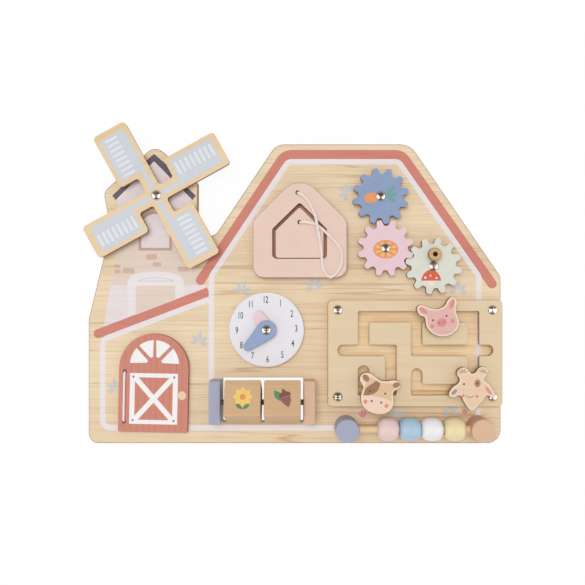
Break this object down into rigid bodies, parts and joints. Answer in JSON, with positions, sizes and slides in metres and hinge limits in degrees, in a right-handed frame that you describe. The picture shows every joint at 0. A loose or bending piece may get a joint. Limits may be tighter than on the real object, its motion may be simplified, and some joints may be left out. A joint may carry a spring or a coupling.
{
  "type": "wooden busy board",
  "caption": "Farm-shaped wooden activity board with vanes, meshed gears, clock, door, shape sorter, picture blocks, bead bar and sliding maze.",
  "frame": {"origin": "middle of the board's width and height, on its back face", "axes": "+X along the board's long side, +Y towards the roof ridge, +Z out of the face that is played on"},
  "size_m": [0.435, 0.3343, 0.0503],
  "materials": {
    "pine_board": "sanded pine with a satin lacquer and printed farm",
    "birch_ply": "clear lacquered birch plywood",
    "white_dial": "painted white with printed numerals",
    "pink_paint": "matt powder pink paint on wood",
    "gear_pink": "matt printed plywood",
    "gear_blue": "matt printed plywood",
    "gear_mint": "matt printed plywood",
    "hand_blue": "matt painted plywood",
    "hand_pink": "matt painted plywood",
    "barn_red": "printed terracotta barn door on plywood",
    "lilac_paint": "matt paint on wood",
    "tan_paint": "matt paint on wood",
    "beech": "clear lacquered beech",
    "bead_pink": "smooth satin paint",
    "bead_blue": "smooth satin paint",
    "bead_white": "smooth satin paint",
    "bead_yellow": "smooth satin paint",
    "nickel": "polished nickel plate",
    "steel": "plain steel",
    "elastic": "white round elastic",
    "cord": "natural cotton cord"
  },
  "bodies": {
    "board": {"back_board": "pine_board", "clock_dial": "white_dial", "house_frame": "pink_paint", "maze_plate": "birch_ply", "maze_island": "birch_ply", "maze_screws": "nickel", "vane_screw": "nickel", "vane_nut": "steel", "vane_washer": "beech", "gear_screws": "nickel", "gear_nuts": "steel", "gear_washers": "beech", "clock_screw": "nickel", "clock_nut": "steel", "left_block_holder": "lilac_paint", "right_block_holder": "tan_paint", "block_axle": "steel", "holder_screws": "steel", "left_bead_post": "lilac_paint", "right_bead_post": "tan_paint", "bead_dowel": "beech", "post_screws": "steel", "door_cord_legs": "elastic", "cord_anchor": "cord"},
    "vanes": {"windmill_vanes": "birch_ply"},
    "pink_gear": {"pink_gear": "gear_pink"},
    "blue_gear": {"blue_gear": "gear_blue"},
    "mint_gear": {"mint_gear": "gear_mint", "crank_knob": "beech", "knob_screw": "steel"},
    "hour_hand": {"hour_hand": "hand_pink"},
    "minute_hand": {"minute_hand": "hand_blue"},
    "door": {"barn_door": "barn_red", "door_hinge_cord": "elastic"},
    "house": {"house_plug": "pink_paint", "pull_cord": "cord", "plug_knot": "cord"},
    "left_block": {"left_block": "beech"},
    "right_block": {"right_block": "beech"},
    "yellow_bead": {"yellow_bead": "bead_yellow"},
    "white_bead": {"white_bead": "bead_white"},
    "blue_bead": {"blue_bead": "bead_blue"},
    "pink_bead": {"pink_bead": "bead_pink"},
    "pig_glide": {"pig_glide": "birch_ply"},
    "pig": {"pig_head": "birch_ply", "pig_peg": "beech", "pig_screw": "steel"},
    "cow_glide": {"cow_glide": "birch_ply"},
    "cow": {"cow_head": "birch_ply", "cow_peg": "beech", "cow_screw": "steel"},
    "goat_glide": {"goat_glide": "birch_ply"},
    "goat": {"goat_head": "birch_ply", "goat_peg": "beech", "goat_screw": "steel"}
  },
  "joints": [
    {"name": "vanes_spin", "type": "hinge", "parent": "board", "child": "vanes", "pos_m": [-0.1435, 0.1022, 0.01515], "axis": [0, 0, 1], "continuous": true},
    {"name": "pink_gear_spin", "type": "hinge", "parent": "board", "child": "pink_gear", "pos_m": [0.0945, 0.0474, 0.01415], "axis": [0, 0, 1], "continuous": true},
    {"name": "blue_gear_spin", "type": "hinge", "parent": "board", "child": "blue_gear", "pos_m": [0.0894, 0.10136, 0.01415], "axis": [0, 0, 1], "continuous": true},
    {"name": "mint_gear_spin", "type": "hinge", "parent": "board", "child": "mint_gear", "pos_m": [0.14424, 0.0288, 0.01415], "axis": [0, 0, 1], "continuous": true},
    {"name": "hour_hand_turn", "type": "hinge", "parent": "board", "child": "hour_hand", "pos_m": [-0.0293, -0.0375, 0.01715], "axis": [0, 0, 1], "continuous": true},
    {"name": "minute_hand_turn", "type": "hinge", "parent": "board", "child": "minute_hand", "pos_m": [-0.0293, -0.0375, 0.0203], "axis": [0, 0, 1], "continuous": true},
    {"name": "door_swing", "type": "hinge", "parent": "board", "child": "door", "pos_m": [-0.1844, -0.1436, 0.01215], "axis": [-0.0209, -0.9998, 0], "range_deg": [0, 90]},
    {"name": "house_lift", "type": "slide", "parent": "board", "child": "house", "axis": [0, 0, 1], "range_m": [0, 0.05]},
    {"name": "left_block_turn", "type": "hinge", "parent": "board", "child": "left_block", "pos_m": [-0.0527, -0.1115, 0.0265], "axis": [1, 0, 0], "continuous": true},
    {"name": "right_block_turn", "type": "hinge", "parent": "board", "child": "right_block", "pos_m": [-0.0125, -0.1115, 0.0265], "axis": [1, 0, 0], "continuous": true},
    {"name": "yellow_bead_slide", "type": "slide", "parent": "board", "child": "yellow_bead", "axis": [1, 0, 0], "range_m": [-0.0048, 0.0039]},
    {"name": "white_bead_slide", "type": "slide", "parent": "yellow_bead", "child": "white_bead", "axis": [1, 0, 0], "range_m": [-0.0048, 0.0012]},
    {"name": "blue_bead_slide", "type": "slide", "parent": "white_bead", "child": "blue_bead", "axis": [1, 0, 0], "range_m": [-0.0048, 0.0002]},
    {"name": "pink_bead_slide", "type": "slide", "parent": "blue_bead", "child": "pink_bead", "axis": [1, 0, 0], "range_m": [-0.0048, 0.0005]},
    {"name": "pig_slide", "type": "slide", "parent": "board", "child": "pig_glide", "axis": [1, 0, 0], "range_m": [-0.0767, 0.0373]},
    {"name": "pig_turn", "type": "hinge", "parent": "pig_glide", "child": "pig", "pos_m": [0.1481, -0.0238, 0.0248], "axis": [0, 0, 1], "continuous": true},
    {"name": "cow_slide", "type": "slide", "parent": "board", "child": "cow_glide", "axis": [1, 0, 0], "range_m": [-0.0141, 0.0142]},
    {"name": "cow_turn", "type": "hinge", "parent": "cow_glide", "child": "cow", "pos_m": [0.0855, -0.0994, 0.0248], "axis": [0, 0, 1], "continuous": true},
    {"name": "goat_slide", "type": "slide", "parent": "board", "child": "goat_glide", "axis": [1, 0, 0], "range_m": [-0.0478, 0.0046]},
    {"name": "goat_turn", "type": "hinge", "parent": "goat_glide", "child": "goat", "pos_m": [0.1808, -0.0994, 0.0248], "axis": [0, 0, 1], "range_deg": [-120, 120]}
  ],
  "couplings": [
    {"joint": "blue_gear_spin", "follows": "pink_gear_spin", "ratio": -1},
    {"joint": "mint_gear_spin", "follows": "pink_gear_spin", "ratio": -1}
  ]
}
